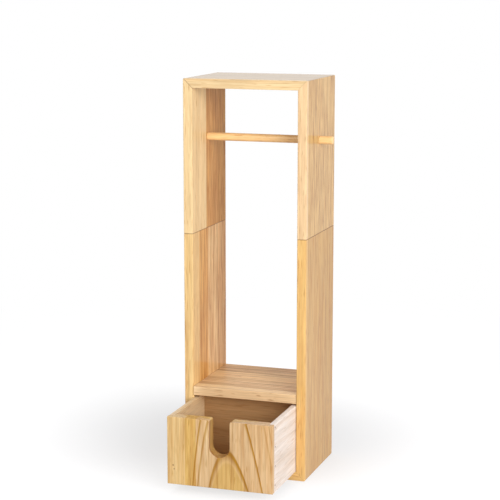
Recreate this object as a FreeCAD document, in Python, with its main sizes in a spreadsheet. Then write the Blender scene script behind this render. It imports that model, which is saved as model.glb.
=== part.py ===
import FreeCAD, Part
import math
import os
import types

import Sketcher

# Free-standing toilet roll stand in lacquered pale wood: a tall mitred frame made in two halves,
# a shelf, a drawer in the bay under the shelf and a loose rod that carries the roll in use.
# Millimetres, +Z up, front towards -Y. The origin lies on the floor under the middle of the frame.

SIZES = {
    # Frame boards
    "frame_width": 190,
    "frame_depth": 148,
    "frame_height": 595,
    "board_thick": 14,
    "edge_round": 1.2,
    "corner_ease": 0.8,
    "seam_height": 365,
    "seam_chamfer": 0.4,
    # Shelf
    "shelf_top": 132,
    "shelf_thick": 14,
    # Loose tongues in the glued mitres
    "spline_thick": 3,
    "spline_width": 10,
    "spline_offset": 3,
    "spline_stop": 15,
    "spline_play": 0.1,
    # Dowels
    "dowel_diameter": 6,
    "dowel_inset": 30,
    "dowel_play": 0.1,
    "dowel_end_gap": 1,
    "seam_dowel_length": 40,
    "shelf_dowel_length": 18,
    # Roll rod
    "rod_diameter": 12,
    "rod_drop": 91,
    "rod_forward": 5,
    "rod_reach": 20,
    "rod_socket": 8,
    "rod_play": 0.3,
    "rod_end_gap": 0.5,
    "rod_end_round": 1.5,
    # Back of the drawer bay
    "bay_back_thick": 4,
    "bay_back_rebate": 6,
    "bay_back_play": 0.2,
    # Drawer
    "drawer_pull": 112,
    "drawer_side_gap": 0.8,
    "drawer_top_gap": 3,
    "drawer_ride": 0.2,
    "drawer_back_gap": 1,
    "drawer_front_thick": 18,
    "drawer_front_lip": 9,
    "drawer_wall": 8,
    "drawer_edge_round": 1,
    "drawer_floor_thick": 3,
    "drawer_floor_lift": 4,
    "drawer_groove": 4,
    "drawer_groove_play": 0.2,
    # Finger notch
    "notch_width": 31,
    "notch_depth": 54,
    "notch_lip_round": 3,
    # Brads
    "brad_width": 1.3,
    "brad_length": 22,
    "brad_sink": 0.5,
    "brad_play": 0.1,
    "brad_end_gap": 0.5,
    "brad_rise": 3,
    "brad_drop": 5,
    "short_brad_length": 14,
    "bay_brad_inset": 26,
    "floor_brad_gap": 12,
}

FRONT_BRAD_ROWS = 4
BACK_BRAD_ROWS = 3
HANDS = {"left": -1, "right": 1}
ROOT_HALF = math.sqrt(0.5)
TINY = 1e-4
LEAST_CUT = 1e-3

doc = FreeCAD.newDocument("toilet_roll_stand")
sheet = doc.addObject("Spreadsheet::Sheet", "Sizes")
for row, (alias, number) in enumerate(SIZES.items(), start=1):
    sheet.set(f"A{row}", alias)
    sheet.set(f"B{row}", str(number))
    sheet.setAlias(f"B{row}", alias)
doc.recompute()


class Formula:
    """A length, as its present value and as the sheet expression that gives it."""

    def __init__(self, value, text):
        self.value = float(value)
        self.text = text

    def __add__(self, other):
        other = formula(other)
        return Formula(self.value + other.value, f"({self.text} + {other.text})")

    def __sub__(self, other):
        other = formula(other)
        return Formula(self.value - other.value, f"({self.text} - {other.text})")

    def __mul__(self, factor):
        return Formula(self.value * factor, f"({self.text} * {factor})")

    def __truediv__(self, divisor):
        return Formula(self.value / divisor, f"({self.text} / {divisor})")

    def __neg__(self):
        return self * -1


def formula(item):
    """A plain number as a formula, and a formula as it is."""
    if isinstance(item, Formula):
        return item
    return Formula(item, str(item))


size = types.SimpleNamespace(**{alias: Formula(sheet.get(alias), f"Sizes.{alias}") for alias in SIZES})
pieces = []


# Sketches and features

def new_body(label):
    """Start a piece under the name of its node."""
    body = doc.addObject("PartDesign::Body", label)
    body.Label = label
    pieces.append(body)
    return body


def new_sketch(body, name, plane, height=0):
    """Start a sketch on the body's own XY, XZ or YZ plane, moved along the plane's normal."""
    sketch = body.newObject("Sketcher::SketchObject", f"{body.Label}_{name}")
    for feature in body.Origin.OriginFeatures:
        if feature.Role == f"{plane}_Plane":
            sketch.AttachmentSupport = (feature, [""])
    sketch.MapMode = "FlatFace"
    sketch.setExpression("AttachmentOffset.Base.z", formula(height).text)
    return sketch


def drive(sketch, kind, *references, value):
    """Add a dimension to a sketch and bind it to its formula."""
    index = sketch.addConstraint(Sketcher.Constraint(kind, *references, value.value))
    sketch.setExpression(f"Constraints[{index}]", value.text)


def fix_point(sketch, geometry, end, point):
    """Place a point of a sketch by its two distances from the sketch's origin."""
    drive(sketch, "DistanceX", -1, 1, geometry, end, value=formula(point[0]))
    drive(sketch, "DistanceY", -1, 1, geometry, end, value=formula(point[1]))


def vector(point):
    """A sketch point at its present place."""
    return FreeCAD.Vector(formula(point[0]).value, formula(point[1]).value, 0)


def arc_between(start, end, radius):
    """The short anticlockwise arc from one point to another."""
    chord = vector(end) - vector(start)
    to_centre = math.sqrt(radius.value ** 2 - chord.Length ** 2 / 4)
    left = FreeCAD.Vector(-chord.y, chord.x, 0).normalize()
    centre = (vector(start) + vector(end)) / 2 + left * to_centre
    first = vector(start) - centre
    last = vector(end) - centre
    circle = Part.Circle(centre, FreeCAD.Vector(0, 0, 1), radius.value)
    return Part.ArcOfCircle(circle, math.atan2(first.y, first.x), math.atan2(last.y, last.x))


def outline(sketch, items):
    """Draw a closed anticlockwise outline of points; a radius between two points joins them by an arc."""
    segments = []
    start = items[0]
    radius = None
    for item in items[1:] + items[:1]:
        if isinstance(item, Formula):
            radius = item
            continue
        segments.append((start, item, radius))
        start = item
        radius = None
    first = sketch.GeometryCount
    for start, end, radius in segments:
        if radius is None:
            sketch.addGeometry(Part.LineSegment(vector(start), vector(end)))
        else:
            sketch.addGeometry(arc_between(start, end, radius))
    for number, (start, end, radius) in enumerate(segments):
        index = first + number
        following = first + (number + 1) % len(segments)
        sketch.addConstraint(Sketcher.Constraint("Coincident", index, 2, following, 1))
        fix_point(sketch, index, 1, start)
        if radius is not None:
            drive(sketch, "Radius", index, value=radius)


def rectangle(sketch, low, high):
    """Draw an upright rectangle between two opposite corners."""
    outline(sketch, [low, (high[0], low[1]), high, (low[0], high[1])])


def circles(sketch, centres, radius):
    """Draw equal circles."""
    for centre in centres:
        index = sketch.addGeometry(Part.Circle(vector(centre), FreeCAD.Vector(0, 0, 1), radius.value))
        fix_point(sketch, index, 3, centre)
        drive(sketch, "Radius", index, value=radius)


def squares(sketch, centres, half):
    """Draw equal upright squares."""
    for x, y in centres:
        rectangle(sketch, (formula(x) - half, formula(y) - half), (formula(x) + half, formula(y) + half))


def pad(body, sketch, length):
    """Raise a sketch along its plane's normal."""
    feature = body.newObject("PartDesign::Pad", f"{sketch.Name}_pad")
    feature.Profile = sketch
    feature.setExpression("Length", length.text)
    return feature


def pad_both_ways(body, sketch, length):
    """Raise a sketch to a length that is centred on its plane."""
    feature = pad(body, sketch, length)
    feature.SideType = "Symmetric"


def cut(body, sketch, depth=None):
    """Cut a sketch to a depth on both sides of its plane, or right through where no depth is given."""
    doc.recompute()
    volume_before = body.Shape.Volume
    feature = body.newObject("PartDesign::Pocket", f"{sketch.Name}_cut")
    feature.Profile = sketch
    feature.SideType = "Symmetric"
    if depth is None:
        feature.Type = "ThroughAll"
    else:
        feature.setExpression("Length", (depth * 2).text)
    doc.recompute()
    if volume_before - body.Shape.Volume < LEAST_CUT:
        raise ValueError(f"{feature.Name} cuts nothing")


def dress(body, kind, property_name, amount, wanted):
    """Round or chamfer the edges of a piece that a rule picks."""
    doc.recompute()
    base = body.Tip
    names = [f"Edge{number}" for number, edge in enumerate(base.Shape.Edges, start=1) if wanted(edge)]
    feature = body.newObject(f"PartDesign::{kind}", f"{body.Label}_{kind.lower()}")
    feature.Base = (base, names)
    feature.setExpression(property_name, amount.text)


def round_edges(body, radius, wanted):
    dress(body, "Fillet", "Radius", radius, wanted)


def chamfer_edges(body, amount, wanted):
    dress(body, "Chamfer", "Size", amount, wanted)


def lies_at(edge, axis, place):
    """Whether a whole edge lies in the plane across an axis at a place."""
    box = edge.BoundBox
    low = getattr(box, f"{axis}Min")
    high = getattr(box, f"{axis}Max")
    return abs(low - place) < TINY and abs(high - place) < TINY


def is_arc(edge):
    return isinstance(edge.Curve, Part.Circle)


def runs_along(edge, axis):
    """Whether an edge is straight and parallel to an axis."""
    return isinstance(edge.Curve, Part.Line) and abs(getattr(edge.Curve.Direction, axis.lower())) > 1 - TINY


# Frame: shared places

outer = size.frame_width / 2
inner = outer - size.board_thick
half_depth = size.frame_depth / 2
under_top = size.frame_height - size.board_thick
shelf_under = size.shelf_top - size.shelf_thick
corner_round = size.edge_round + size.corner_ease
mitre_tip = corner_round * (1 - ROOT_HALF)
dowel_y = half_depth - size.dowel_inset
dowel_hole = size.dowel_diameter / 2 + size.dowel_play


def turned(items, hand=1, low=False):
    """Carry an outline drawn at the top right corner of the frame to another corner."""
    moved = []
    for item in items:
        if isinstance(item, tuple):
            height = size.frame_height - item[1] if low else item[1]
            item = (item[0] * hand, height)
        moved.append(item)
    if (hand < 0) != low:
        moved.reverse()
    return moved


def ease_board(body, axis):
    """Round a frame board's long edges on the front and the back of the frame."""
    def wanted(edge):
        at_face = lies_at(edge, "Y", half_depth.value) or lies_at(edge, "Y", -half_depth.value)
        return at_face and (is_arc(edge) or runs_along(edge, axis))

    round_edges(body, size.edge_round, wanted)


def tongue_outline(play=0):
    """Section of a mitre's loose tongue at the top right corner, square across the mitre."""
    middle_x = outer - size.board_thick / 2 - size.spline_offset * ROOT_HALF
    middle_z = size.frame_height - size.board_thick / 2 - size.spline_offset * ROOT_HALF
    along = (size.spline_width / 2 + play) * ROOT_HALF
    across = (size.spline_thick / 2 + play) * ROOT_HALF
    return [
        (middle_x - along - across, middle_z + along - across),
        (middle_x + along - across, middle_z - along - across),
        (middle_x + along + across, middle_z - along + across),
        (middle_x - along + across, middle_z + along + across),
    ]


spline_length = size.frame_depth - size.spline_stop * 2


def cut_tongue_slot(body, hand, low):
    """Stopped slot for the loose tongue, square to the mitre."""
    level = "bottom" if low else "top"
    sketch = new_sketch(body, f"slot_{level}_{hand + 1}", "XZ")
    outline(sketch, turned(tongue_outline(size.spline_play), hand, low))
    cut(body, sketch, spline_length / 2 + size.spline_play)


def cut_bay_rebate(body):
    """Rebate for the thin panel behind the drawer, cut into every board round the bay."""
    sketch = new_sketch(body, "bay_rebate", "XZ", -half_depth)
    reach = inner + size.bay_back_rebate
    rectangle(
        sketch,
        (-reach, size.board_thick - size.bay_back_rebate),
        (reach, shelf_under + size.bay_back_rebate),
    )
    cut(body, sketch, size.bay_back_thick)


def bay_brad_centres(level):
    """Places of the bay panel's brads along its lower or upper edge."""
    return [((inner - size.bay_brad_inset) * column, level) for column in (-1, 0, 1)]


low_brads = bay_brad_centres(size.board_thick - size.bay_back_rebate / 2)
high_brads = bay_brad_centres(shelf_under + size.bay_back_rebate / 2)
brad_hole = size.brad_width / 2 + size.brad_play


def cut_bay_brad_holes(body, name, centres):
    sketch = new_sketch(body, name, "XZ", -half_depth)
    squares(sketch, centres, brad_hole)
    cut(body, sketch, size.brad_sink + size.short_brad_length + size.brad_end_gap)


# Frame: top and bottom boards

def make_level_board(label, low):
    """Board across the top or the bottom, mitred at both ends, its outer corners rounded."""
    body = new_body(label)
    sketch = new_sketch(body, "profile", "XZ")
    profile = [
        (-inner, under_top),
        (inner, under_top),
        (outer - mitre_tip, size.frame_height - mitre_tip),
        corner_round,
        (outer - corner_round, size.frame_height),
        (corner_round - outer, size.frame_height),
        corner_round,
        (mitre_tip - outer, size.frame_height - mitre_tip),
    ]
    outline(sketch, turned(profile, low=low))
    pad_both_ways(body, sketch, size.frame_depth)
    ease_board(body, "X")
    for hand in HANDS.values():
        cut_tongue_slot(body, hand, low)
    return body


top_board = make_level_board("top_board", low=False)
bottom_board = make_level_board("bottom_board", low=True)
cut_bay_rebate(bottom_board)
cut_bay_brad_holes(bottom_board, "brad_holes", low_brads)


# Frame: sides

def seam_dowel_centres(hand):
    middle = (outer - size.board_thick / 2) * hand
    return [(middle, -dowel_y), (middle, dowel_y)]


def make_side(label, hand, low):
    """Upright board: mitred at the corner, square at the seam, with dowel holes in the square end."""
    body = new_body(label)
    sketch = new_sketch(body, "profile", "XZ")
    seam = size.frame_height - size.seam_height if low else size.seam_height
    profile = [
        (inner, seam),
        (outer, seam),
        (outer, size.frame_height - corner_round),
        corner_round,
        (outer - mitre_tip, size.frame_height - mitre_tip),
        (inner, under_top),
    ]
    outline(sketch, turned(profile, hand, low))
    pad_both_ways(body, sketch, size.frame_depth)
    ease_board(body, "Z")
    chamfer_edges(body, size.seam_chamfer, lambda edge: lies_at(edge, "Z", size.seam_height.value))
    cut_tongue_slot(body, hand, low)
    holes = new_sketch(body, "seam_holes", "XY", size.seam_height)
    circles(holes, seam_dowel_centres(hand), dowel_hole)
    cut(body, holes, size.seam_dowel_length / 2 + size.dowel_end_gap)
    return body


shelf_dowel_centres = [
    (-dowel_y, size.shelf_top - size.shelf_thick / 2),
    (dowel_y, size.shelf_top - size.shelf_thick / 2),
]


def cut_shelf_dowel_holes(body, hand):
    sketch = new_sketch(body, f"shelf_holes_{hand + 1}", "YZ", inner * hand)
    circles(sketch, shelf_dowel_centres, dowel_hole)
    cut(body, sketch, size.shelf_dowel_length / 2 + size.dowel_end_gap)


upper_sides = {}
for side, hand in HANDS.items():
    upper_sides[side] = make_side(f"upper_{side}_side", hand, low=False)
    lower_side = make_side(f"lower_{side}_side", hand, low=True)
    cut_bay_rebate(lower_side)
    cut_shelf_dowel_holes(lower_side, hand)


# Roll rod and its two holes

rod_centre = (-size.rod_forward, size.frame_height - size.rod_drop)
rod_left_end = -(inner + size.rod_socket - size.rod_end_gap)
rod_right_end = outer + size.rod_reach


def cut_rod_hole(body, height, depth=None):
    sketch = new_sketch(body, "rod_hole", "YZ", height)
    circles(sketch, [rod_centre], size.rod_diameter / 2 + size.rod_play)
    cut(body, sketch, depth)


cut_rod_hole(upper_sides["left"], -inner, size.rod_socket)
cut_rod_hole(upper_sides["right"], outer)

roll_rod = new_body("roll_rod")
rod_sketch = new_sketch(roll_rod, "section", "YZ", (rod_left_end + rod_right_end) / 2)
circles(rod_sketch, [rod_centre], size.rod_diameter / 2)
pad_both_ways(roll_rod, rod_sketch, rod_right_end - rod_left_end)
round_edges(roll_rod, size.rod_end_round, is_arc)


# Shelf and the panel behind the drawer

shelf = new_body("shelf")
shelf_sketch = new_sketch(shelf, "profile", "XZ")
rectangle(shelf_sketch, (-inner, shelf_under), (inner, size.shelf_top))
pad_both_ways(shelf, shelf_sketch, size.frame_depth)
ease_board(shelf, "X")
cut_bay_rebate(shelf)
cut_bay_brad_holes(shelf, "brad_holes", high_brads)
for hand in HANDS.values():
    cut_shelf_dowel_holes(shelf, hand)

bay_back = new_body("bay_back")
bay_reach = inner + size.bay_back_rebate - size.bay_back_play
bay_sketch = new_sketch(bay_back, "profile", "XZ", size.bay_back_thick - half_depth)
rectangle(
    bay_sketch,
    (-bay_reach, size.board_thick - size.bay_back_rebate + size.bay_back_play),
    (bay_reach, shelf_under + size.bay_back_rebate - size.bay_back_play),
)
pad(bay_back, bay_sketch, size.bay_back_thick).Reversed = True
cut_bay_brad_holes(bay_back, "brad_holes", low_brads + high_brads)


# Loose tongues and dowels

for level, low in (("top", False), ("bottom", True)):
    for side, hand in HANDS.items():
        tongue = new_body(f"mitre_spline_{level}_{side}")
        tongue_sketch = new_sketch(tongue, "section", "XZ")
        outline(tongue_sketch, turned(tongue_outline(), hand, low))
        pad_both_ways(tongue, tongue_sketch, spline_length)


def add_dowels(body, name, plane, height, centres, length):
    """Equal round pins, each centred on the sketch plane."""
    sketch = new_sketch(body, name, plane, height)
    circles(sketch, centres, size.dowel_diameter / 2)
    pad_both_ways(body, sketch, length)


def add_brads(body, name, plane, height, centres, length):
    """Equal headless brads of square wire, each centred on the sketch plane."""
    sketch = new_sketch(body, name, plane, height)
    squares(sketch, centres, size.brad_width / 2)
    pad_both_ways(body, sketch, length)


seam_dowels = new_body("seam_dowels")
seam_centres = seam_dowel_centres(HANDS["left"]) + seam_dowel_centres(HANDS["right"])
add_dowels(seam_dowels, "pins", "XY", size.seam_height, seam_centres, size.seam_dowel_length)

shelf_dowels = new_body("shelf_dowels")
for side, hand in HANDS.items():
    place = inner * hand
    add_dowels(shelf_dowels, f"{side}_pins", "YZ", place, shelf_dowel_centres, size.shelf_dowel_length)

bay_back_brads = new_body("bay_back_brads")
bay_brad_middle = size.brad_sink + size.short_brad_length / 2 - half_depth
bay_brads = low_brads + high_brads
add_brads(bay_back_brads, "pins", "XZ", bay_brad_middle, bay_brads, size.short_brad_length)


# Drawer: shared places, with the drawer shut

drawer_half = inner - size.drawer_side_gap
drawer_clear = drawer_half - size.drawer_wall
drawer_low = size.board_thick + size.drawer_ride
drawer_high = shelf_under - size.drawer_top_gap
drawer_height = drawer_high - drawer_low
front_y = -half_depth
lip_y = front_y + size.drawer_front_lip
front_back_y = front_y + size.drawer_front_thick
rear_y = half_depth - size.bay_back_thick - size.drawer_back_gap
floor_low = drawer_low + size.drawer_floor_lift
floor_high = floor_low + size.drawer_floor_thick
groove_high = floor_high + size.drawer_groove_play


def new_drawer_body(label):
    """Start a piece of the drawer, which stands pulled out at rest."""
    body = new_body(label)
    body.setExpression("Placement.Base.y", (-size.drawer_pull).text)
    return body


def brad_row_centres(place_y, rows):
    """Places of a row of brads up the drawer side, from above its floor to under its top edge."""
    first = floor_high + size.brad_rise
    last = drawer_high - size.brad_drop
    return [(place_y, first + (last - first) * (row / (rows - 1))) for row in range(rows)]


front_brads = brad_row_centres((lip_y + front_back_y) / 2, FRONT_BRAD_ROWS)
back_brads = brad_row_centres(rear_y - size.drawer_wall / 2, BACK_BRAD_ROWS)
floor_brad_x = drawer_half - size.brad_sink - size.brad_length - size.floor_brad_gap
floor_brads = [(floor_brad_x * hand, rear_y - size.drawer_wall / 2) for hand in HANDS.values()]


def cut_side_brad_holes(body, name, hand, centres):
    sketch = new_sketch(body, f"{name}_{hand + 1}", "YZ", drawer_half * hand)
    squares(sketch, centres, brad_hole)
    cut(body, sketch, size.brad_sink + size.brad_length + size.brad_end_gap)


def cut_floor_brad_holes(body):
    sketch = new_sketch(body, "floor_brad_holes", "XY", floor_low)
    squares(sketch, floor_brads, brad_hole)
    cut(body, sketch, size.brad_sink + size.short_brad_length + size.brad_end_gap)


# Drawer: front with its finger notch

drawer_front = new_drawer_body("drawer_front")
plan = new_sketch(drawer_front, "plan", "XY", drawer_low)
outline(plan, [
    (-drawer_half, front_y),
    (drawer_half, front_y),
    (drawer_half, lip_y),
    (drawer_clear, lip_y),
    (drawer_clear, front_back_y),
    (-drawer_clear, front_back_y),
    (-drawer_clear, lip_y),
    (-drawer_half, lip_y),
])
pad(drawer_front, plan, drawer_height)

notch_half = size.notch_width / 2
notch_low = drawer_high - size.notch_depth
notch_spring = notch_low + notch_half
notch = new_sketch(drawer_front, "notch", "XZ")
outline(notch, [
    (-notch_half, notch_spring),
    notch_half,
    (0, notch_low),
    notch_half,
    (notch_half, notch_spring),
    (notch_half, shelf_under),
    (-notch_half, shelf_under),
])
cut(drawer_front, notch)


def at_notch_lip(edge):
    """The two edges across the front's thickness where the notch meets the top edge."""
    at_side = lies_at(edge, "X", notch_half.value) or lies_at(edge, "X", -notch_half.value)
    return at_side and lies_at(edge, "Z", drawer_high.value)


round_edges(drawer_front, size.notch_lip_round, at_notch_lip)
round_edges(drawer_front, size.drawer_edge_round, lambda edge: lies_at(edge, "Y", front_y.value))
front_groove = new_sketch(drawer_front, "groove", "YZ")
rectangle(front_groove, (front_back_y - size.drawer_groove, floor_low), (front_back_y, groove_high))
cut(drawer_front, front_groove)
for hand in HANDS.values():
    cut_side_brad_holes(drawer_front, "brad_holes", hand, front_brads)


# Drawer: sides, back and floor

def make_drawer_side(label, hand):
    """Side board behind the front's lip, grooved for the floor, its top edges eased."""
    body = new_drawer_body(label)
    sketch = new_sketch(body, "plan", "XY", drawer_low)
    outline(sketch, turned([
        (drawer_clear, lip_y),
        (drawer_half, lip_y),
        (drawer_half, rear_y),
        (drawer_clear, rear_y),
    ], hand))
    pad(body, sketch, drawer_height)
    round_edges(
        body, size.drawer_edge_round,
        lambda edge: runs_along(edge, "Y") and lies_at(edge, "Z", drawer_high.value),
    )
    groove = new_sketch(body, "groove", "XZ")
    outline(groove, turned([
        (drawer_clear, floor_low),
        (drawer_clear + size.drawer_groove, floor_low),
        (drawer_clear + size.drawer_groove, groove_high),
        (drawer_clear, groove_high),
    ], hand))
    cut(body, groove)
    cut_side_brad_holes(body, "front_brad_holes", hand, front_brads)
    cut_side_brad_holes(body, "back_brad_holes", hand, back_brads)


for side, hand in HANDS.items():
    make_drawer_side(f"drawer_{side}_side", hand)

drawer_back = new_drawer_body("drawer_back")
back_plan = new_sketch(drawer_back, "plan", "XY", floor_high)
rectangle(back_plan, (-drawer_clear, rear_y - size.drawer_wall), (drawer_clear, rear_y))
pad(drawer_back, back_plan, drawer_high - floor_high)
round_edges(
    drawer_back, size.drawer_edge_round,
    lambda edge: runs_along(edge, "X") and lies_at(edge, "Z", drawer_high.value),
)
for hand in HANDS.values():
    cut_side_brad_holes(drawer_back, "brad_holes", hand, back_brads)
cut_floor_brad_holes(drawer_back)

drawer_floor = new_drawer_body("drawer_floor")
floor_plan = new_sketch(drawer_floor, "plan", "XY", floor_low)
floor_reach = drawer_clear + size.drawer_groove - size.drawer_groove_play
floor_front = front_back_y - size.drawer_groove + size.drawer_groove_play
rectangle(floor_plan, (-floor_reach, floor_front), (floor_reach, rear_y))
pad(drawer_floor, floor_plan, size.drawer_floor_thick)
cut_floor_brad_holes(drawer_floor)


# Drawer: brads

def make_side_brads(label, centres):
    """Brads driven through both drawer sides, their heads sunk under the face."""
    body = new_drawer_body(label)
    middle = drawer_half - size.brad_sink - size.brad_length / 2
    for side, hand in HANDS.items():
        add_brads(body, f"{side}_pins", "YZ", middle * hand, centres, size.brad_length)


make_side_brads("drawer_front_brads", front_brads)
make_side_brads("drawer_back_brads", back_brads)

drawer_floor_brads = new_drawer_body("drawer_floor_brads")
floor_brad_middle = floor_low + size.brad_sink + size.short_brad_length / 2
add_brads(drawer_floor_brads, "pins", "XY", floor_brad_middle, floor_brads, size.short_brad_length)


# Check and write the pieces

doc.recompute()
for item in doc.Objects:
    if "Invalid" in item.State or "Error" in item.State:
        raise RuntimeError(f"{item.Label} failed: {item.State}")
for piece in pieces:
    if piece.Shape.isNull() or not piece.Shape.isValid():
        raise RuntimeError(f"{piece.Label} has no valid shape")

os.makedirs("parts", exist_ok=True)
for piece in pieces:
    piece.Shape.exportStep(f"parts/{piece.Label}.step")
    box = piece.Shape.BoundBox
    print(
        f"{piece.Label}: {len(piece.Shape.Solids)} solid(s), "
        f"{box.XLength:.1f} x {box.YLength:.1f} x {box.ZLength:.1f} mm"
    )
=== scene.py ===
# %% [markdown]
# # A wooden toilet roll stand
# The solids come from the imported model: boards, rod and drawer already have their real shapes and
# sizes. This lesson gives them their looks: lacquered and bare wood, plywood, steel brads, soft light.

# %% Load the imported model
import math

import bpy
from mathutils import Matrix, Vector


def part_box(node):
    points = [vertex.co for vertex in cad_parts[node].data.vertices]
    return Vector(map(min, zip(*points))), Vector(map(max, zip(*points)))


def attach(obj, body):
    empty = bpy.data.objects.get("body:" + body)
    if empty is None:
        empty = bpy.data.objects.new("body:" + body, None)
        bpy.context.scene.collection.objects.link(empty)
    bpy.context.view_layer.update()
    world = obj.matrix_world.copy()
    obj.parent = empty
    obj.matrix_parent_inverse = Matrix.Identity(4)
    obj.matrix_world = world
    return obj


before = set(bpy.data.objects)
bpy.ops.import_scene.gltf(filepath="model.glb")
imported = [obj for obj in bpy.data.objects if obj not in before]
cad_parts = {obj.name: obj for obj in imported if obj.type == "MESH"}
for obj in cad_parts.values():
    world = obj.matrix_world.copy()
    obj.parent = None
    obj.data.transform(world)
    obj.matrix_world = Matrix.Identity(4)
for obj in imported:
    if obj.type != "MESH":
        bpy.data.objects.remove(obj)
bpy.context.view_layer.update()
print("pieces loaded:", len(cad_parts))

# %% [markdown]
# ## Camera
# A long lens from about two and a half metres, a little to the right and a little above the middle.
# A long lens keeps the upright boards almost parallel, as a product photographer would want them.
# The place is given in metres and the aim as two angles, because those are what a reader can change.

# %% Camera
CAMERA_PLACE = Vector((0.7414, -2.2448, 0.7492))
CAMERA_AZIMUTH = math.radians(18.645)
CAMERA_ELEVATION = math.radians(9.987)
LENS_MM = 114.03
SENSOR_MM = 36.0

towards_camera = Vector((
    math.sin(CAMERA_AZIMUTH) * math.cos(CAMERA_ELEVATION),
    -math.cos(CAMERA_AZIMUTH) * math.cos(CAMERA_ELEVATION),
    math.sin(CAMERA_ELEVATION),
))
camera_data = bpy.data.cameras.new("product_camera")
camera_data.lens = LENS_MM
camera_data.sensor_width = SENSOR_MM
camera = bpy.data.objects.new("product_camera", camera_data)
camera.location = CAMERA_PLACE
camera.rotation_euler = (-towards_camera).to_track_quat("-Z", "Y").to_euler()
bpy.context.scene.collection.objects.link(camera)
bpy.context.scene.camera = camera
print("camera at", tuple(round(c, 3) for c in camera.location))

# %% [markdown]
# ## Colours and nodes
# Colours are written as the hex values that a colour picker shows and turned to the linear values
# that a renderer adds up. One function adds a node with its settings and its links, so a material
# below reads from top to bottom, like a recipe. Two settings come back all the time and get a name: a
# range with soft ends, and a mix that stains, which multiplies a colour by a tint.

# %% Helpers for colours and nodes
SOFT_RANGE = {"interpolation_type": "SMOOTHSTEP"}
STAIN = {"data_type": "RGBA", "blend_type": "MULTIPLY"}


def linear(hex_colour):
    """An sRGB hex colour as linear red, green, blue and an alpha of one."""
    channels = [int(hex_colour[i:i + 2], 16) / 255 for i in (1, 3, 5)]
    return tuple(c / 12.92 if c <= 0.04045 else ((c + 0.055) / 1.055) ** 2.4 for c in channels) + (1.0,)


def add_node(tree, kind, settings=None, inputs=None, stops=None):
    """Add a node: its properties, a value or a link for each input, and the stops of its colour ramp.

    A whole node as a value stands for its first live output.
    """
    node = tree.nodes.new(kind)
    for name, value in (settings or {}).items():
        setattr(node, name, value)
    for name, value in (inputs or {}).items():
        by_identifier = [socket for socket in node.inputs if socket.identifier == name]
        socket = by_identifier[0] if by_identifier else node.inputs[name]
        if isinstance(value, bpy.types.Node):
            value = next(live for live in value.outputs if live.enabled)
        if isinstance(value, bpy.types.NodeSocket):
            tree.links.new(value, socket)
        else:
            socket.default_value = value
    for number, (place, colour) in enumerate(stops or ()):
        elements = node.color_ramp.elements
        element = elements[number] if number < len(elements) else elements.new(place)
        element.position = place
        element.color = colour
    return node


def add_sockets(group, sockets):
    """Give a node group its sockets: which way they go, their kind, and their names."""
    for way, kind, names in sockets:
        for name in names:
            group.interface.new_socket(name, in_out=way, socket_type=f"NodeSocket{kind}")


def new_material(name):
    """An empty node material with its output, and that output's Surface socket."""
    material = bpy.data.materials.new(name)
    material.use_nodes = True
    material.node_tree.nodes.clear()
    output = add_node(material.node_tree, "ShaderNodeOutputMaterial")
    return material, material.node_tree, output.inputs["Surface"]


WHITE = linear("#FFFFFF")
print("white paper is", WHITE)

# %% [markdown]
# ## Floor
# The stand is on a plain white sweep. Near the object the floor is a matt white that takes the soft
# shadow, and its glow is drawn dimmer round a point behind and left of the stand: a painted soft
# shadow. Farther away it turns into the white of the backdrop, so that no horizon shows. A curved
# backdrop could hide the horizon too, but a flat floor that fades works from every side. Only what is
# seen directly is made so bright: light that bounces off the floor meets plain matt paper.

# %% Floor
# Lengths are in metres, and a glow of one is full white.
FLOOR_HALF = 6.0
FLOOR_DROP = 0.0002
FLOOR_CORNERS = ((-1, -1), (1, -1), (1, 1), (-1, 1))
SHADOW_CENTRE = (-0.085, 0.12, 0.0)
SHADOW_CORE = 0.08
SHADOW_EDGE = 0.40
SHADOW_GLOW = 0.565
OPEN_GLOW = 0.79
FADE_START = 0.45
FADE_END = 1.10


def seen_directly(tree):
    """One for what the camera sees, also in a mirror or through glass, and zero for bounced light."""
    path = add_node(tree, "ShaderNodeLightPath").outputs
    seen = add_node(tree, "ShaderNodeMath", {"operation": "MAXIMUM"},
                    {"Value": path["Is Camera Ray"], "Value_001": path["Is Glossy Ray"]})
    return add_node(tree, "ShaderNodeMath", {"operation": "MAXIMUM"},
                    {"Value": seen, "Value_001": path["Is Transmission Ray"]})


floor_paper, tree, surface = new_material("white_paper_sweep")
place = add_node(tree, "ShaderNodeTexCoord")
distance = add_node(tree, "ShaderNodeVectorMath", {"operation": "DISTANCE"},
                    {"Vector": place.outputs["Object"], "Vector_001": SHADOW_CENTRE}).outputs["Value"]
# The glow is dimmer near SHADOW_CENTRE: a painted soft shadow on the floor, besides the real one that the
# lit part takes.
painted_shadow_glow = add_node(tree, "ShaderNodeMapRange", SOFT_RANGE, {
    "Value": distance, "From Min": SHADOW_CORE, "From Max": SHADOW_EDGE,
    "To Min": SHADOW_GLOW, "To Max": OPEN_GLOW})
faded = add_node(tree, "ShaderNodeMapRange", SOFT_RANGE, {
    "Value": distance, "From Min": FADE_START, "From Max": FADE_END})
matt = add_node(tree, "ShaderNodeBsdfDiffuse", inputs={"Color": linear("#D0D0D0")})
lit = add_node(tree, "ShaderNodeBsdfDiffuse", inputs={"Color": linear("#969698")})
glow = add_node(tree, "ShaderNodeEmission", inputs={"Color": WHITE, "Strength": painted_shadow_glow})
near = add_node(tree, "ShaderNodeAddShader", inputs={"Shader": lit, "Shader_001": glow})
far = add_node(tree, "ShaderNodeEmission", inputs={"Color": WHITE, "Strength": 1.0})
shown = add_node(tree, "ShaderNodeMixShader", inputs={"Fac": faded, "Shader": near, "Shader_001": far})
both = add_node(tree, "ShaderNodeMixShader", inputs={
    "Fac": seen_directly(tree), "Shader": matt, "Shader_001": shown})
tree.links.new(both.outputs[0], surface)

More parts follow.
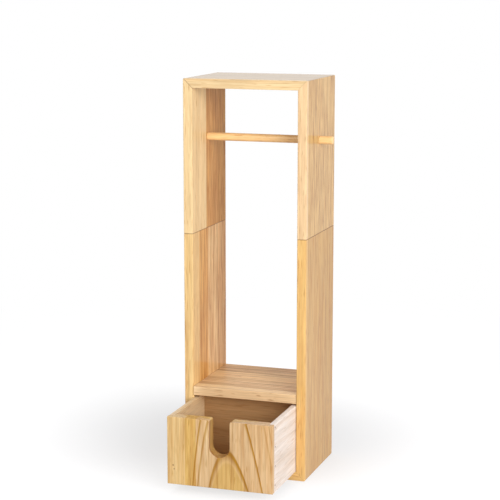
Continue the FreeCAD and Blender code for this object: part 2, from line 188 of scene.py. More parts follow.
floor_mesh = bpy.data.meshes.new("floor")
floor_mesh.from_pydata(
    [(x * FLOOR_HALF, y * FLOOR_HALF, -FLOOR_DROP) for x, y in FLOOR_CORNERS], [], [(0, 1, 2, 3)])
floor_mesh.materials.append(floor_paper)
floor = bpy.data.objects.new("floor", floor_mesh)
bpy.context.scene.collection.objects.link(floor)
print("floor reaches", FLOOR_HALF, "m")

# %% [markdown]
# ## Studio light
# Four large softboxes do the lighting: a key at the front right, and weak ones at the front left,
# overhead and behind. Small lamps would be quicker to place, but they throw hard shadows. The key is not
# mirrored in the lacquer, as if it had a polarising sheet, because its glare would wash out the flat top.
# A dim white room fills the shadows; seen directly, that room is the white backdrop.

# %% Studio light
SOFTBOXES = {
    # name: (place, watts, whether it is mirrored)
    "key_softbox": ((1.85, -1.85, 0.90), 64.0, False),
    "front_softbox": ((-1.10, -2.10, 1.90), 13.0, True),
    "top_softbox": ((0.10, -0.30, 2.60), 6.0, True),
    "back_softbox": ((-0.40, 1.70, 2.40), 10.0, True),
}
SOFTBOX_AIM = Vector((0.0, 0.0, 0.30))
SOFTBOX_WIDTH = 1.6
FILL_STRENGTH = 0.45

for name, (place, watts, mirrored) in SOFTBOXES.items():
    lamp = bpy.data.lights.new(name, "AREA")
    lamp.shape = "SQUARE"
    lamp.size = SOFTBOX_WIDTH
    lamp.energy = watts
    softbox = bpy.data.objects.new(name, lamp)
    softbox.location = place
    softbox.rotation_euler = (SOFTBOX_AIM - Vector(place)).to_track_quat("-Z", "Y").to_euler()
    softbox.visible_glossy = mirrored
    bpy.context.scene.collection.objects.link(softbox)

world = bpy.data.worlds.new("white_studio")
world.use_nodes = True
tree = world.node_tree
tree.nodes.clear()
fill = add_node(tree, "ShaderNodeBackground", inputs={"Color": WHITE, "Strength": FILL_STRENGTH})
backdrop = add_node(tree, "ShaderNodeBackground", inputs={"Color": WHITE, "Strength": 1.0})
both = add_node(tree, "ShaderNodeMixShader", inputs={
    "Fac": seen_directly(tree), "Shader": fill, "Shader_001": backdrop})
add_node(tree, "ShaderNodeOutputWorld", inputs={"Surface": both})
bpy.context.scene.world = world
bpy.context.scene.view_settings.view_transform = "Standard"
print("softboxes:", ", ".join(SOFTBOXES))

# %% [markdown]
# ## The figure of the wood
# Wood is not a picture on a face but a solid: growth rings round the pith of the tree, fibres along it.
# A picture wrapped round a board would break at every edge. If the figure is made in space, then the
# front, the edge and the end of a board belong together, as on a sawn board. One node group makes it:
# rings as distance from the pith, bent by a slow noise; streaks and fibres as noise that is drawn out
# along the grain; pores as short dark dashes. Places are in millimetres, with the grain along Z, so that
# each scale is a real one.

# %% Wood figure: staves
NOISE_MIDDLE = 0.5

wood_figure = bpy.data.node_groups.new("wood_figure", "ShaderNodeTree")
add_sockets(wood_figure, (
    ("INPUT", "Vector", ("Place", "Pith Place")),
    ("INPUT", "Color", ("Stave Colour", "Late Tint", "Streak Tint")),
    ("INPUT", "Float", ("Stave Shift", "Ring Width", "Ring Wander", "Ring Strength")),
    ("INPUT", "Float", ("Streak Strength", "Streak Width", "Streak Length")),
    ("OUTPUT", "Color", ("Colour",)),
    ("OUTPUT", "Float", ("Roughness", "Height", "Radius")),
))
given = add_node(wood_figure, "NodeGroupInput").outputs

# Each stave was another part of the tree, so its colour picks its own shift of the pattern.
chance = add_node(wood_figure, "ShaderNodeTexWhiteNoise", {"noise_dimensions": "3D"},
                  {"Vector": given["Stave Colour"]})
centred = add_node(wood_figure, "ShaderNodeVectorMath", {"operation": "SUBTRACT"},
                   {"Vector": chance.outputs["Color"], "Vector_001": [NOISE_MIDDLE] * 3})
shift = add_node(wood_figure, "ShaderNodeVectorMath", {"operation": "SCALE"},
                 {"Vector": centred, "Scale": given["Stave Shift"]})
along_fibre = add_node(wood_figure, "ShaderNodeVectorMath", {"operation": "ADD"},
                       {"Vector": given["Place"], "Vector_001": shift})
round_pith = add_node(wood_figure, "ShaderNodeVectorMath", {"operation": "ADD"},
                      {"Vector": given["Pith Place"], "Vector_001": shift})
print("wood figure has", len(wood_figure.interface.items_tree), "sockets")

# %% Wood figure: growth rings
BEND_SIZE = (45.0, 45.0, 600.0)
SEASON_RATE = 0.45
SEASON_DRIFT = 1.6
LATE_GROWTH = 2.2

# A slow noise bends the rings.
slow_place = add_node(wood_figure, "ShaderNodeVectorMath", {"operation": "DIVIDE"},
                      {"Vector": round_pith, "Vector_001": BEND_SIZE})
slow = add_node(wood_figure, "ShaderNodeTexNoise", inputs={
    "Vector": slow_place, "Scale": 1.0, "Detail": 2.0, "Roughness": 0.45})
slow_centred = add_node(wood_figure, "ShaderNodeVectorMath", {"operation": "SUBTRACT"},
                        {"Vector": slow.outputs["Color"], "Vector_001": [NOISE_MIDDLE] * 3})
bend = add_node(wood_figure, "ShaderNodeVectorMath", {"operation": "SCALE"},
                {"Vector": slow_centred, "Scale": given["Ring Wander"]})
bent = add_node(wood_figure, "ShaderNodeVectorMath", {"operation": "ADD"},
                {"Vector": round_pith, "Vector_001": bend})
flat = add_node(wood_figure, "ShaderNodeVectorMath", {"operation": "MULTIPLY"},
                {"Vector": bent, "Vector_001": (1.0, 1.0, 0.0)})
radius = add_node(wood_figure, "ShaderNodeVectorMath", {"operation": "LENGTH"},
                  {"Vector": flat}).outputs["Value"]

# Good and bad years make wide and narrow rings; within a ring, the wood gets denser until winter.
even_rings = add_node(wood_figure, "ShaderNodeMath", {"operation": "DIVIDE"},
                      {"Value": radius, "Value_001": given["Ring Width"]})
season = add_node(wood_figure, "ShaderNodeTexNoise", {"noise_dimensions": "1D"}, {
    "W": even_rings, "Scale": SEASON_RATE, "Detail": 1.0})
drifted = add_node(wood_figure, "ShaderNodeMath", {"operation": "MULTIPLY_ADD"}, {
    "Value": season, "Value_001": SEASON_DRIFT, "Value_002": even_rings})
phase = add_node(wood_figure, "ShaderNodeMath", {"operation": "FRACT"}, {"Value": drifted})
growing = add_node(wood_figure, "ShaderNodeMapRange", {"interpolation_type": "SMOOTHERSTEP"}, {
    "Value": phase, "From Min": 0.10, "From Max": 0.94})
ending = add_node(wood_figure, "ShaderNodeMapRange", SOFT_RANGE, {
    "Value": phase, "From Min": 0.93, "From Max": 1.0, "To Min": 1.0, "To Max": 0.0})
dense = add_node(wood_figure, "ShaderNodeMath", {"operation": "POWER"},
                 {"Value": growing, "Value_001": LATE_GROWTH})
late = add_node(wood_figure, "ShaderNodeMath", {"operation": "MULTIPLY"},
                {"Value": dense, "Value_001": ending})

# Some summers leave a dark ring and some hardly any, so each year draws its own strength.
year = add_node(wood_figure, "ShaderNodeMath", {"operation": "FLOOR"}, {"Value": drifted})
summer = add_node(wood_figure, "ShaderNodeTexWhiteNoise", {"noise_dimensions": "1D"}, {"W": year})
strength = add_node(wood_figure, "ShaderNodeMapRange", inputs={
    "Value": summer, "From Min": 0.3, "To Max": given["Ring Strength"]})
late_share = add_node(wood_figure, "ShaderNodeMath", {"operation": "MULTIPLY", "use_clamp": True},
                      {"Value": late, "Value_001": strength})
ringed = add_node(wood_figure, "ShaderNodeMix", STAIN, {
    "Factor_Float": late_share, "A_Color": given["Stave Colour"], "B_Color": given["Late Tint"]})
print("rings bend over", BEND_SIZE[0], "mm")

# %% Wood figure: streaks, fibres and pores
# On the real wood, fibres and pores are a third of a millimetre wide. They are drawn four to five times
# as coarse, so that they show.
FIBRE_SIZE = (1.8, 1.8, 50.0)
PORE_SIZE = (1.4, 1.4, 20.0)
FIBRE_CONTRAST = 0.5
PORE_DARK = 0.5

# Streaks, many times as long as wide, where the fibre took up more of the lacquer.
streak_size = add_node(wood_figure, "ShaderNodeCombineXYZ", inputs={
    "X": given["Streak Width"], "Y": given["Streak Width"], "Z": given["Streak Length"]})
streak_place = add_node(wood_figure, "ShaderNodeVectorMath", {"operation": "DIVIDE"},
                        {"Vector": along_fibre, "Vector_001": streak_size})
streaks = add_node(wood_figure, "ShaderNodeTexNoise", inputs={
    "Vector": streak_place, "Scale": 1.0, "Detail": 4.0, "Roughness": 0.62})
streak_share = add_node(wood_figure, "ShaderNodeMapRange", inputs={
    "Value": streaks, "From Min": 0.40, "From Max": 0.74, "To Max": given["Streak Strength"]})
streaked = add_node(wood_figure, "ShaderNodeMix", STAIN, {
    "Factor_Float": streak_share, "A_Color": ringed, "B_Color": given["Streak Tint"]})

# Fibres over a slow change of tone.
mottle = add_node(wood_figure, "ShaderNodeMapRange", inputs={
    "Value": slow, "From Min": 0.3, "From Max": 0.7, "To Min": 0.94, "To Max": 1.06})
fibre_place = add_node(wood_figure, "ShaderNodeVectorMath", {"operation": "DIVIDE"},
                       {"Vector": along_fibre, "Vector_001": FIBRE_SIZE})
fibres = add_node(wood_figure, "ShaderNodeTexNoise", inputs={
    "Vector": fibre_place, "Scale": 1.0, "Detail": 2.0, "Roughness": 0.6})
fibre_centred = add_node(wood_figure, "ShaderNodeMath", {"operation": "SUBTRACT"},
                         {"Value": fibres, "Value_001": NOISE_MIDDLE})
fibre_tone = add_node(wood_figure, "ShaderNodeMath", {"operation": "MULTIPLY_ADD"}, {
    "Value": fibre_centred, "Value_001": FIBRE_CONTRAST, "Value_002": mottle})
fibred = add_node(wood_figure, "ShaderNodeVectorMath", {"operation": "SCALE"},
                  {"Vector": streaked, "Scale": fibre_tone})

# Pores, cut open as dashes, are dark and hollow; between them the fibres stand proud and are duller.
pore_place = add_node(wood_figure, "ShaderNodeVectorMath", {"operation": "DIVIDE"},
                      {"Vector": along_fibre, "Vector_001": PORE_SIZE})
pore_noise = add_node(wood_figure, "ShaderNodeTexNoise", inputs={
    "Vector": pore_place, "Scale": 1.0, "Detail": 0.0})
pores = add_node(wood_figure, "ShaderNodeMapRange", SOFT_RANGE, {
    "Value": pore_noise, "From Min": 0.66, "From Max": 0.78, "To Max": PORE_DARK})
pored = add_node(wood_figure, "ShaderNodeMix", STAIN, {
    "Factor_Float": pores, "A_Color": fibred, "B_Color": given["Late Tint"]})
dull = add_node(wood_figure, "ShaderNodeMapRange", inputs={
    "Value": fibres, "From Min": 0.25, "From Max": 0.75, "To Min": 0.40, "To Max": 0.56})
height = add_node(wood_figure, "ShaderNodeMath", {"operation": "SUBTRACT"},
                  {"Value": fibres, "Value_001": pores})
add_node(wood_figure, "NodeGroupOutput", inputs={
    "Colour": pored, "Roughness": dull, "Height": height, "Radius": radius})
print("wood figure has", len(wood_figure.nodes), "nodes")

# %% [markdown]
# ## Marks on a board
# Some marks have a known place, so noise can't draw them. Each is worked out as a share from zero to one,
# and later stains the wood by that share. Dark years are a record of rings: the radius and the rise of the
# dark wood in millimetres, and how dark it became on one side of the pith and on the other, because a tree
# that leans grows uneven rings. Near the pith the wood is old and more yellow. Where two boards or staves
# meet, glue and end grain drank more lacquer and dust, and draw a thin dark line; at the seam between the
# halves, that line is also painted shade, for the shade in the seam's groove. Pin knots are what is left
# of twigs: dots of dark wood. The wall of a notch is drawn darker and browner than the face.

# %% Dark years
YEAR_DENSE = 0.4
YEAR_END = 0.3
LEAN_HALF = 12.0


def year_share(tree, radius, sideways, pith_side, years):
    """How dark the wood of the recorded years is, at a radius and on either side of the pith."""
    first, last = years[0][0] - years[0][1], years[-1][0] + YEAR_END
    grown = add_node(tree, "ShaderNodeMapRange", inputs={
        "Value": radius, "From Min": first, "From Max": last})
    stops = []
    for ring, rise, left, right in years:
        dark, pale = (left, right, 0.0, 1.0), (0.0, 0.0, 0.0, 1.0)
        edges = ((ring - rise, pale), (ring - YEAR_DENSE, dark), (ring, dark), (ring + YEAR_END, pale))
        stops += [((edge - first) / (last - first), tone) for edge, tone in edges]
    record = add_node(tree, "ShaderNodeValToRGB", inputs={"Fac": grown}, stops=stops)
    sides = add_node(tree, "ShaderNodeSeparateColor", inputs={"Color": record}).outputs
    side = add_node(tree, "ShaderNodeMapRange", SOFT_RANGE, {
        "Value": sideways, "From Min": pith_side - LEAN_HALF, "From Max": pith_side + LEAN_HALF})
    return add_node(tree, "ShaderNodeMix", inputs={
        "Factor_Float": side, "A_Float": sides["Red"], "B_Float": sides["Green"]})


print("a dark year ends within", YEAR_END, "mm")

# %% Heart, glue and shade lines, pin knots and notch
HEART_EDGE = 1.5
GLUE_AND_SHADE_HALF = (0.35, 1.0)
GLUE_AND_SHADE_TINT = "#6E4A2C"
KNOT_DARK = 0.55
KNOT_TINT = "#8A5A22"
NOTCH_DARK_WIDTH = 0.8
NOTCH_DARK = 0.45
NOTCH_TINT = "#9A6C44"


def heart_share(tree, radius, heart_radius):
    """The old wood inside a radius."""
    return add_node(tree, "ShaderNodeMapRange", SOFT_RANGE, {
        "Value": radius, "From Min": heart_radius - HEART_EDGE, "From Max": heart_radius,
        "To Min": 1.0, "To Max": 0.0})


def glue_and_shade_share(tree, measured, direction, distance, dark):
    """A straight line, by the direction across it and its distance from the origin."""
    along = add_node(tree, "ShaderNodeVectorMath", {"operation": "DOT_PRODUCT"},
                     {"Vector": measured, "Vector_001": direction}).outputs["Value"]
    past = add_node(tree, "ShaderNodeMath", {"operation": "SUBTRACT"},
                    {"Value": along, "Value_001": distance})
    away = add_node(tree, "ShaderNodeMath", {"operation": "ABSOLUTE"}, {"Value": past})
    return add_node(tree, "ShaderNodeMapRange", SOFT_RANGE, {
        "Value": away, "From Min": GLUE_AND_SHADE_HALF[0], "From Max": GLUE_AND_SHADE_HALF[1], "To Min": dark, "To Max": 0.0})


def knot_share(tree, measured, centre, half):
    """A dot round a centre."""
    off = add_node(tree, "ShaderNodeVectorMath", {"operation": "DISTANCE"},
                   {"Vector": measured, "Vector_001": centre}).outputs["Value"]
    return add_node(tree, "ShaderNodeMapRange", SOFT_RANGE, {
        "Value": off, "From Min": half / 2, "From Max": half, "To Min": KNOT_DARK, "To Max": 0.0})


def notch_share(tree, measured, spring, half):
    """The wall of a notch that is straight above its spring height and round below it."""
    sawn = add_node(tree, "ShaderNodeSeparateXYZ", inputs={"Vector": measured}).outputs
    above = add_node(tree, "ShaderNodeMath", {"operation": "SUBTRACT"},
                     {"Value": sawn["Z"], "Value_001": spring})
    below = add_node(tree, "ShaderNodeMath", {"operation": "MINIMUM"}, {"Value": above, "Value_001": 0.0})
    arm = add_node(tree, "ShaderNodeCombineXYZ", inputs={"X": sawn["X"], "Y": below})
    reach = add_node(tree, "ShaderNodeVectorMath", {"operation": "LENGTH"},
                     {"Vector": arm}).outputs["Value"]
    return add_node(tree, "ShaderNodeMapRange", SOFT_RANGE, {
        "Value": reach, "From Min": half, "From Max": half + NOTCH_DARK_WIDTH,
        "To Min": NOTCH_DARK, "To Max": 0.0})


print("a glue line is", 2 * GLUE_AND_SHADE_HALF[1], "mm wide")

# %% [markdown]
# ## Wood with its finish
# The boards are glued up from staves of a pale, light wood and sprayed with a clear lacquer: the wood
# under it is matt and honey-coloured, the coat over it is smooth and mirrors the white studio at flat
# angles. One material for all would be shorter, but each board has its own staves, so one function makes
# a material for each: it turns the board's length to Z, picks the stave, reads the figure, adds the marks
# and lays the coat over it.

# %% Wood material
MM = 1000.0
GRAIN_UP = (0.0, 0.0, 0.0)
GRAIN_ALONG_WIDTH = (0.0, math.radians(-90), 0.0)
GRAIN_UP_ACROSS_FRONT = (0.0, 0.0, math.radians(90))
GRAIN_ALONG_DEPTH = (math.radians(90), 0.0, 0.0)
GRAIN_ALONG_BACK = (math.radians(-90), math.radians(-90), 0.0)
WOOD_IOR = 1.5
COATED_GLOSS = 0.1
BARE_GLOSS = 0.35
RELIEF_STRENGTH = 0.25
RELIEF_DEPTH = 0.0001


def wood_material(name, grain, staves, across, pith, tilt=(0.0, 0.0, 0.0), stave_shift=160.0,
                  ring_width=4.0, ring_wander=9.0, ring_strength=0.35, late="#C8A070",
                  streak_width=3.4, streak_length=110.0, streak="#D8B488", coat=0.4, coat_roughness=0.10,
                  years=(), heart=None, glue_and_shade_lines=(), pin_knots=(), notch=None):
    """Wood with its grain turned to Z, its staves in order across it, and a clear coat if it has one.

    A stave is where it starts, its colour, how strong its streaks are, and whether its pattern is shifted
    (1) or not (0). A heart is the radius of the old wood and its tint. A glue line is the direction across
    it, its distance from the origin in millimetres, and how dark it is. A pin knot is its centre and its
    half width. A notch is the height of its round's centre and its half width.
    """
    material, tree, surface = new_material(name)
    place = add_node(tree, "ShaderNodeTexCoord")
    measured = add_node(tree, "ShaderNodeVectorMath", {"operation": "SCALE"},
                        {"Vector": place.outputs["Object"], "Scale": MM})
    turned = add_node(tree, "ShaderNodeMapping", inputs={"Vector": measured, "Rotation": grain})
    sideways = add_node(tree, "ShaderNodeSeparateXYZ", inputs={"Vector": turned}).outputs["Y"]

    band = add_node(tree, "ShaderNodeMapRange", inputs={
        "Value": sideways, "From Min": across[0], "From Max": across[1]})
    starts = [(start - across[0]) / (across[1] - across[0]) for start, *habit in staves]
    colours = [linear(colour)[:3] + (moved,) for start, colour, streaks, moved in staves]
    strengths = [(streaks, streaks, streaks, 1.0) for start, colour, streaks, moved in staves]
    stave = add_node(tree, "ShaderNodeValToRGB", inputs={"Fac": band}, stops=zip(starts, colours))
    stave.color_ramp.interpolation = "CONSTANT"
    streaked = add_node(tree, "ShaderNodeValToRGB", inputs={"Fac": band}, stops=zip(starts, strengths))
    streaked.color_ramp.interpolation = "CONSTANT"
    moved = add_node(tree, "ShaderNodeMath", {"operation": "MULTIPLY"},
                     {"Value": stave.outputs["Alpha"], "Value_001": stave_shift})

    pith_place = add_node(tree, "ShaderNodeMapping", {"vector_type": "TEXTURE"}, {
        "Vector": turned, "Location": pith, "Rotation": tilt})
    figure = add_node(tree, "ShaderNodeGroup", {"node_tree": wood_figure}, {
        "Place": turned, "Pith Place": pith_place,
        "Stave Colour": stave.outputs["Color"], "Stave Shift": moved,
        "Ring Width": ring_width, "Ring Wander": ring_wander, "Ring Strength": ring_strength,
        "Streak Strength": streaked, "Streak Width": streak_width, "Streak Length": streak_length,
        "Late Tint": linear(late), "Streak Tint": linear(streak)}).outputs

    marks = []
    if years:
        marks.append((year_share(tree, figure["Radius"], sideways, pith[1], years), late))
    if heart:
        heart_radius, heart_tint = heart
        marks.append((heart_share(tree, figure["Radius"], heart_radius), heart_tint))
    # At the seam, this dark line is glue and also painted shade of the seam's groove.
    marks += [(glue_and_shade_share(tree, measured, *line), GLUE_AND_SHADE_TINT) for line in glue_and_shade_lines]
    marks += [(knot_share(tree, measured, *knot), KNOT_TINT) for knot in pin_knots]
    if notch:
        marks.append((notch_share(tree, measured, *notch), NOTCH_TINT))
    colour = figure["Colour"]
    for share, tint in marks:
        colour = add_node(tree, "ShaderNodeMix", STAIN, {
            "Factor_Float": share, "A_Color": colour, "B_Color": linear(tint)})

    relief = add_node(tree, "ShaderNodeBump", inputs={
        "Strength": RELIEF_STRENGTH, "Distance": RELIEF_DEPTH, "Height": figure["Height"]})
    wood = add_node(tree, "ShaderNodeBsdfPrincipled", inputs={
        "Base Color": colour, "Roughness": figure["Roughness"], "Normal": relief,
        "IOR": WOOD_IOR, "Specular IOR Level": COATED_GLOSS if coat else BARE_GLOSS,
        "Coat Weight": coat, "Coat Roughness": coat_roughness, "Coat IOR": WOOD_IOR})
    tree.links.new(wood.outputs["BSDF"], surface)
    return material


print("gloss under a coat:", COATED_GLOSS, "and without one:", BARE_GLOSS)

# %% [markdown]
# ## Frame boards
# Two pairs of sides, a top, a bottom and a shelf. They could share one look, but the real ones were cut
# from different trees: the upper right side is full of dark dashes, the lower one is calm, and the shelf
# has broad rings. So each board has its own row of values. The mitres, the shelf's ends and two joints of
# its staves show as glue lines; a tight mitre hardly shows. The seam between the halves shows as a glue
# line that is also painted shade, for the shade in its groove.

# %% Joint lines
SEAM_GLUE_AND_SHADE_DARK = 0.5
MITRE_DARK = 0.35
TIGHT_MITRE_DARK = 0.12
SHELF_JOINTS = ((-57.0, 0.35), (47.0, 0.6))
SHELF_JOINT_ACROSS = (0.02, 1.0, 0.0)
DIAGONAL = math.sqrt(0.5)

frame_low, frame_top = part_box("top_board")
half_width, frame_height = frame_top.x * MM, frame_top.z * MM
# The seam's line is partly glue and partly painted shade, for the shade in its groove.
seam = ((0.0, 0.0, 1.0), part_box("upper_left_side")[0].z * MM, SEAM_GLUE_AND_SHADE_DARK)
top_mitres = {
    side: ((hand * DIAGONAL, 0.0, -DIAGONAL), (half_width - frame_height) * DIAGONAL, dark)
    for side, hand, dark in (("left", -1, MITRE_DARK), ("right", 1, TIGHT_MITRE_DARK))}
bottom_mitres = {
    side: ((hand * DIAGONAL, 0.0, DIAGONAL), half_width * DIAGONAL, TIGHT_MITRE_DARK)
    for side, hand in (("left", -1), ("right", 1))}
shelf_ends = [((hand, 0.0, 0.0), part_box("shelf")[1].x * MM, MITRE_DARK) for hand in (-1.0, 1.0)]
shelf_joints = [(SHELF_JOINT_ACROSS, distance, dark) for distance, dark in SHELF_JOINTS]
print("seam at", round(seam[1], 1), "mm")

# %% Frame boards
DEPTH = (frame_low.y * MM, frame_top.y * MM)
FRONT = DEPTH[0]


def dress(node, material):
    """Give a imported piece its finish."""
    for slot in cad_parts[node].material_slots:
        slot.material = material


frame_boards = {
    "top_board": dict(
        grain=GRAIN_ALONG_WIDTH, pith=(60.0, 10.0, 0.0), coat=0.62, coat_roughness=0.20, ring_strength=0.2,
        glue_and_shade_lines=top_mitres.values(),
        staves=[(FRONT, "#E8CC9C", 0.5, 1), (-64.0, "#CEB899", 0.6, 1), (-22.0, "#CAB495", 0.6, 1),
                (26.0, "#D0BA9B", 0.6, 1)]),
    "upper_left_side": dict(
        grain=GRAIN_UP, pith=(70.0, 0.0, 0.0), coat=0.12, ring_strength=0.2,
        streak_width=4.0, streak_length=70.0, streak="#B48450", glue_and_shade_lines=(seam, top_mitres["left"]),
        staves=[(FRONT, "#EBCE9C", 0.3, 1), (-14.0, "#D29E5C", 0.9, 1), (36.0, "#CE9A56", 0.9, 1)]),
    "upper_right_side": dict(
        grain=GRAIN_UP, pith=(-90.0, 20.0, 0.0), coat=0.45, coat_roughness=0.08, ring_strength=0.3,
        late="#A07850", streak_width=3.0, streak_length=60.0, streak="#AE845C",
        glue_and_shade_lines=(seam, top_mitres["right"]),
        staves=[(FRONT, "#EAC799", 0.3, 1), (-66.0, "#DEB678", 1.0, 1), (-20.0, "#E0B87A", 1.0, 1),
                (30.0, "#DEB678", 1.0, 1)]),
    "lower_left_side": dict(
        grain=GRAIN_UP, pith=(80.0, 0.0, 0.0), coat=0.2, ring_strength=0.2,
        streak_width=5.0, streak="#B88A52", glue_and_shade_lines=(seam, bottom_mitres["left"]),
        staves=[(FRONT, "#ECC88C", 0.4, 1), (-45.5, "#E2AE66", 1.0, 1), (-9.0, "#EECA94", 1.0, 1),
                (36.0, "#E2B67E", 1.0, 1)]),
    "lower_right_side": dict(
        grain=GRAIN_UP, pith=(-120.0, -10.0, 0.0), coat=0.45, coat_roughness=0.08, ring_strength=0.15,
        streak_width=7.0, streak_length=90.0, glue_and_shade_lines=(seam, bottom_mitres["right"]),
        staves=[(FRONT, "#E2B874", 0.5, 1), (-66.0, "#CFA464", 0.7, 1), (-30.0, "#CEA260", 0.7, 1),
                (28.0, "#CCA05E", 0.7, 1)]),
    "bottom_board": dict(
        grain=GRAIN_ALONG_WIDTH, pith=(-70.0, 15.0, 0.0), ring_strength=0.2,
        glue_and_shade_lines=bottom_mitres.values(),
        staves=[(FRONT, "#EAC07C", 0.4, 1), (-30.0, "#DDB480", 0.6, 1), (20.0, "#E0B884", 0.6, 1)]),
    "shelf": dict(
        grain=GRAIN_ALONG_WIDTH, pith=(-132.0, 300.0, 0.0), tilt=(0.03, 0.0, 0.0), stave_shift=60.0,
        coat=0.1, coat_roughness=0.3, ring_width=11.0, ring_strength=0.9, late="#A8744C",
        streak_width=3.0, streak_length=120.0, streak="#A2704A", glue_and_shade_lines=shelf_ends + shelf_joints,
        staves=[(FRONT, "#F6D8AA", 0.2, 1), (SHELF_JOINTS[0][0], "#F6D8A8", 0.8, 1),
                (-24.0, "#F4D4A2", 0.6, 1), (SHELF_JOINTS[1][0], "#EECA98", 0.9, 1)]),
}
for node, values in frame_boards.items():
    dress(node, wood_material(f"lacquered_paulownia_{node}", across=DEPTH, **values))
print("frame boards dressed:", len(frame_boards))

# %% [markdown]
# ## Drawer front
# A wide flat-sawn stave with three narrower ones beside it, grain upright. A flat-sawn face cuts the rings
# at a slant, and they show as nested arches. The pith line lies 100 mm behind the face and leans a little
# towards it at the bottom, so that an arch closes at the finger notch. This face is what one looks at
# first, and rings left to chance would never fall right, so its few dark years are written down one by
# one. The wall of the notch is drawn darker and browner than the face.

# %% Drawer front wood
PITH_BEHIND_FACE = 100.0
PITH_TILT = (0.06, -0.0825, 0.0)
ARCH_TOP = (10.5, 66.0)
NOTCH_HALF = 15.5
NOTCH_DEPTH = 54.0
DARK_YEARS = [
    # radius, rise, darkness on the left and on the right
    (98.4, 3.0, 0.15, 0.2), (100.0, 1.3, 0.9, 1.0), (106.9, 1.3, 0.7, 0.0), (108.7, 1.5, 0.0, 1.0),
    (110.3, 1.3, 0.9, 0.0), (119.9, 1.8, 0.2, 0.45), (123.5, 1.3, 0.2, 0.45),
]

front_low, front_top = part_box("drawer_front")
front_width = (front_low.x * MM, front_top.x * MM)
face = front_low.y * MM
notch_spring = front_top.z * MM - NOTCH_DEPTH + NOTCH_HALF
drawer_front_wood = wood_material(
    "lacquered_paulownia_drawer_front", grain=GRAIN_UP_ACROSS_FRONT, across=front_width,
    staves=[(front_width[0], "#DEBD85", 0.8, 0), (-53.0, "#D4AC64", 0.8, 0), (-36.0, "#DCBC90", 0.7, 0),
            (-13.0, "#D4B184", 0.7, 0)],
    pith=(-face - PITH_BEHIND_FACE, *ARCH_TOP), tilt=PITH_TILT, years=DARK_YEARS, heart=(99.6, "#FFFCD3"),
    ring_width=4.65, ring_wander=1.5, ring_strength=0.12, late="#CCB044",
    streak="#D0AC6C", streak_width=4.5,
    pin_knots=[((-71.0, face, 43.0), 1.8), ((-69.5, face, 37.5), 1.4)],
    notch=(notch_spring, NOTCH_HALF))
dress("drawer_front", drawer_front_wood)
print("drawer front dressed with", len(DARK_YEARS), "dark years")

# %% [markdown]
# ## Rod
# A turned stick of the same pale wood, lacquered. It could borrow a board's material, but it is one stave
# with straight grain along it, so it gets a calmer one of its own.

# %% Rod wood
ONE_STAVE = (-200.0, 200.0)


def one_stave(colour, streaks):
    """The band and the stave of a piece that is not glued up."""
    return dict(across=ONE_STAVE, staves=[(ONE_STAVE[0], colour, streaks, 0)])


rod_wood = wood_material(
    "lacquered_turned_rod", grain=GRAIN_ALONG_WIDTH, pith=(-450.0, 60.0, 0.0), ring_width=5.0,
    ring_strength=0.25, **one_stave("#FAD196", 0.3))
dress("roll_rod", rod_wood)
print("rod dressed")

# %% [markdown]
# ## Drawer box
# The sides and the back are bare, sanded boards of a whiter part of the same wood: no coat, so no
# mirror, only a faint sheen. The left side is drawn darker and more golden than the right, and the back a
# darker brown still: painted shade, for the shade inside the drawer and under the shelf. The same function
# makes them, because bare wood is the same wood without its coat.

# %% Bare wood
for node, grain, colour in (
    # Darker and more golden than the right side: painted shade.
    ("drawer_left_side", GRAIN_ALONG_DEPTH, "#DDC199"),
    ("drawer_right_side", GRAIN_ALONG_DEPTH, "#EDE1D9"),
    # Dark brown: painted shade, for the dark gap under the shelf.
    ("drawer_back", GRAIN_ALONG_BACK, "#AE875C"),
):
    dress(node, wood_material(
        f"bare_paulownia_{node}", grain=grain, pith=(150.0, -50.0, 0.0), tilt=(0.03, 0.05, 0.0),
        ring_width=9.0, ring_strength=0.5, streak_width=8.0, late="#D8C4AC", streak="#E6D8C6", coat=0.0,
        **one_stave(colour, 0.5)))
print("drawer box dressed")

# %% [markdown]
# ## Plywood, joinery and brads
# The thin panels are three-ply, whose face is peeled off the log in one broad sheet, so its rings are
# wide. The tongues and dowels inside the joints are plain beech. The brads are bright steel wire with the
# fine scratches that drawing leaves along it; a flat grey would look like plastic.

# %% Plywood
for node, grain in (("bay_back", GRAIN_ALONG_BACK), ("drawer_floor", GRAIN_ALONG_WIDTH)):
    dress(node, wood_material(
        f"three_ply_{node}", grain=grain, pith=(160.0, 30.0, 0.0), ring_width=14.0, ring_strength=0.6,
        coat=0.0, **one_stave("#E2C59C", 0.6)))
print("panels dressed")

# %% Joinery and brads
# Real scratches are much finer. In millimetres, these are as coarse as they need to be to show.
SCRATCH_SIZE = (10 / 3, 1 / 3, 1 / 3)

joinery = wood_material(
    "beech_joinery", grain=GRAIN_UP, pith=(150.0, 0.0, 0.0), ring_width=3.0, ring_strength=0.4, coat=0.0,
    **one_stave("#DDB992", 0.6))
steel, tree, surface = new_material("bright_steel_wire")
place = add_node(tree, "ShaderNodeTexCoord")
scratch_place = add_node(tree, "ShaderNodeMapping", inputs={
    "Vector": place.outputs["Object"], "Scale": [MM / size for size in SCRATCH_SIZE]})
scratches = add_node(tree, "ShaderNodeTexNoise", inputs={"Vector": scratch_place, "Scale": 1.0})
dullness = add_node(tree, "ShaderNodeMapRange", inputs={"Value": scratches, "To Min": 0.30, "To Max": 0.50})
metal = add_node(tree, "ShaderNodeBsdfPrincipled", inputs={
    "Base Color": linear("#8E8D8A"), "Metallic": 1.0, "Roughness": dullness})
tree.links.new(metal.outputs["BSDF"], surface)
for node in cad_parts:
    if node.startswith("mitre_spline") or node.endswith("dowels"):
        dress(node, joinery)
    if node.endswith("brads"):
        dress(node, steel)
print("joinery and brads dressed")

